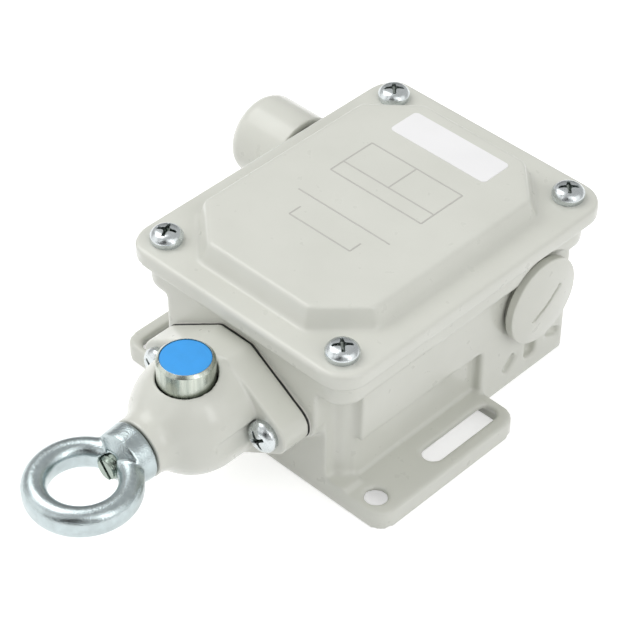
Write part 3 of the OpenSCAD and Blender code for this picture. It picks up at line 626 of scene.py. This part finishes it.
# The rod with its threaded and slotted end.
rod = turned("rod", rod_profile(), ROD_AT, (0, -1, 0), 144, rod_thread)
rod_piece = put("pull_rod_turned", rod, ROD_STEEL, "pull_train")
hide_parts("pull_rod")

# The reset button with a chamfered crown round its recess, and the disc in it.
BUTTON_AT = (0, -0.060, 0.0331)
button = rounded([(0, 6.1), (6.1, 6.1), (6.1, 0), (6.87, 0), (6.87, 7.95), (6.15, 8.65), (6.05, 8.65),
                  (6.05, 7.9), (0, 7.9)], 0.12)
button_piece = put("reset_button_turned", turned("button", button, BUTTON_AT, (0, 0, 1)),
                   BUTTON_STEEL, "reset")
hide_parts("reset_button")
disc = rounded([(0, 7.9), (5.98, 7.9), (5.98, 8.5), (4.5, 8.52), (0, 8.52)], 0.2)
disc_piece = put("reset_disc_turned", turned("disc", disc, BUTTON_AT, (0, 0, 1)),
                 BLUE, "reset")
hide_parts("reset_disc")

# Black thread that shows between the body of the gland and its cap nut; its black stands partly for
# the shade in that deep gap.
GLAND_THREAD_AT = (-0.04395, 0.0256, 0.0255)
sweep = np.linspace(0, 2.3, 47)
thread = np.stack([8.86 + 0.42 * np.abs((sweep * 0.9) % 1 * 2 - 1), sweep], axis=-1)
collar = np.concatenate([[(8.7, 0)], thread, [(8.7, 2.3)]])
put("gland_thread", turned("gland_thread", collar, GLAND_THREAD_AT, (-1, 0, 0)),
    BLACK, "housing")

# Bare sticker and the ruled lines beside it, with nothing written in them.
put("cover_label", label_mesh((-15.75, 23.7), (14.6, 33.3), 1.2, 0.1),
    LABEL, "housing")
lines = joined([strip(a, b, 0.45, 0.05, CROWN_TOP) for a, b in RULES], "ruling")
smooth_faces(lines)
put("cover_ruling", lines, INK, "housing")

# Springs as pieces of their own on the housing.
coil_that_closes("rod_spring")
coil_that_closes("reset_spring")


# ---- Camera, floor and light ----------------------------------------------

AZIMUTH = math.radians(43.89)
ELEVATION = math.radians(41.51)
ROLL = math.radians(0.447)
CAMERA_AT = Vector((285.96, -317.66, 396.12)) * MM
LENS = 136.35
FLOOR_HALF = 4.0
FLOOR_WHITE = 0.88
FLOOR_GLOW = 0.50


def make_camera():
    """Camera whose axes come from azimuth, elevation and a small roll."""
    sa, ca = math.sin(AZIMUTH), math.cos(AZIMUTH)
    se, ce = math.sin(ELEVATION), math.cos(ELEVATION)
    back = Vector((sa * ce, -ca * ce, se))
    level = Vector((ca, sa, 0))
    upright = back.cross(level)
    right = level * math.cos(ROLL) + upright * math.sin(ROLL)
    up = back.cross(right)
    data = bpy.data.cameras.new("camera")
    data.lens = LENS
    data.clip_start, data.clip_end = 0.01, 20
    camera = bpy.data.objects.new("camera", data)
    bpy.context.scene.collection.objects.link(camera)
    turn = Matrix((right, up, back)).transposed().to_4x4()
    camera.matrix_world = Matrix.Translation(CAMERA_AT) @ turn
    bpy.context.scene.camera = camera


def math_node(tree, operation, first, second):
    """Output of a maths node; each of its two inputs is a socket or a number."""
    made = tree.nodes.new("ShaderNodeMath")
    made.operation = operation
    for socket, value in zip(made.inputs, (first, second)):
        if isinstance(value, (int, float)):
            socket.default_value = value
        else:
            tree.links.new(value, socket)
    return made.outputs[0]


def bearing(azimuth, elevation):
    """Unit vector towards a bearing in degrees, azimuth counted from +X towards +Y."""
    a, e = math.radians(azimuth), math.radians(elevation)
    return Vector((math.cos(a) * math.cos(e), math.sin(a) * math.cos(e), math.sin(e)))


def make_floor():
    """Pale floor that reads as white to the eye and still takes a soft shadow."""
    mesh = bpy.data.meshes.new("floor")
    corners = [(x * FLOOR_HALF, y * FLOOR_HALF, 0) for x, y in ((-1, -1), (1, -1), (1, 1), (-1, 1))]
    mesh.from_pydata(corners, [], [(0, 1, 2, 3)])
    floor = bpy.data.objects.new("floor", mesh)
    bpy.context.scene.collection.objects.link(floor)
    material = bpy.data.materials.new("floor_white")
    material.use_nodes = True
    tree = material.node_tree
    tree.nodes.clear()
    out = tree.nodes.new("ShaderNodeOutputMaterial")
    matt = tree.nodes.new("ShaderNodeBsdfDiffuse")
    matt.inputs["Color"].default_value = (FLOOR_WHITE, FLOOR_WHITE, FLOOR_WHITE, 1)
    glow = tree.nodes.new("ShaderNodeEmission")
    glow.inputs["Color"].default_value = (1, 1, 1, 1)
    path = tree.nodes.new("ShaderNodeLightPath")
    seen = math_node(tree, "MAXIMUM", path.outputs["Is Camera Ray"], path.outputs["Is Glossy Ray"])
    seen = math_node(tree, "MAXIMUM", seen, path.outputs["Is Transmission Ray"])
    level = math_node(tree, "MULTIPLY", seen, FLOOR_GLOW)
    tree.links.new(level, glow.inputs["Strength"])
    both = tree.nodes.new("ShaderNodeAddShader")
    tree.links.new(matt.outputs[0], both.inputs[0])
    tree.links.new(glow.outputs[0], both.inputs[1])
    tree.links.new(both.outputs[0], out.inputs["Surface"])
    mesh.materials.append(material)
    floor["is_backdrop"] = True


# Soft cards round the object: azimuth, elevation, inner and outer angle, change of light.
CARDS = [
    (-72, 22, 10, 26, -0.45),
    (-48, 42, 8, 22, -0.40),
    (-134, 20, 14, 30, 0.75),
    (16, 24, 12, 28, 0.70),
    (134, 8, 12, 30, -0.30),
    (-165, 55, 8, 26, 0.50),
]
SKY_LEVEL = 0.62


def make_world():
    """Even white light with a few brighter and darker cards for the metal to mirror."""
    world = bpy.data.worlds.new("studio")
    bpy.context.scene.world = world
    world.use_nodes = True
    tree = world.node_tree
    sky = tree.nodes["Background"]
    sky.inputs["Color"].default_value = (1, 1, 1, 1)
    way = tree.nodes.new("ShaderNodeTexCoord").outputs["Generated"]
    total = SKY_LEVEL
    for azimuth, elevation, inner, outer, change in CARDS:
        dot = tree.nodes.new("ShaderNodeVectorMath")
        dot.operation = "DOT_PRODUCT"
        tree.links.new(way, dot.inputs[0])
        dot.inputs[1].default_value = bearing(azimuth, elevation)
        card = tree.nodes.new("ShaderNodeMapRange")
        card.interpolation_type = "SMOOTHSTEP"
        tree.links.new(dot.outputs["Value"], card.inputs["Value"])
        card.inputs["From Min"].default_value = math.cos(math.radians(outer))
        card.inputs["From Max"].default_value = math.cos(math.radians(inner))
        card.inputs["To Min"].default_value = 0
        card.inputs["To Max"].default_value = change
        total = math_node(tree, "ADD", total, card.outputs["Result"])
    tree.links.new(total, sky.inputs["Strength"])


def make_lamp(name, azimuth, elevation, distance, size, watts):
    """A rectangular soft box at a bearing from the object, size across and upright."""
    way = bearing(azimuth, elevation)
    data = bpy.data.lights.new(name, "AREA")
    data.shape = "RECTANGLE"
    data.size, data.size_y = size
    data.energy = watts
    lamp = bpy.data.objects.new(name, data)
    lamp.location = way * distance + Vector((0, 0, 0.02))
    lamp.rotation_euler = way.to_track_quat("Z", "Y").to_euler()
    bpy.context.scene.collection.objects.link(lamp)


# Soft boxes: azimuth, elevation, distance in m, size across and upright in m, watts.
LAMPS = {
    "top_light": (-165, 58, 0.6, (0.4, 0.4), 1.05),
    "left_box": (-93, 38, 1.0, (0.2, 0.55), 0.30),
    "fill_box": (-24, 50, 1.0, (0.5, 0.5), 0.8),
    "right_box": (-5, 30, 1.0, (0.2, 0.55), 1.0),
}
make_camera()
make_floor()
make_world()
for lamp_name, facts in LAMPS.items():
    make_lamp(lamp_name, *facts)
bpy.context.scene.view_settings.view_transform = "Standard"

write_size("finished", SIZES)
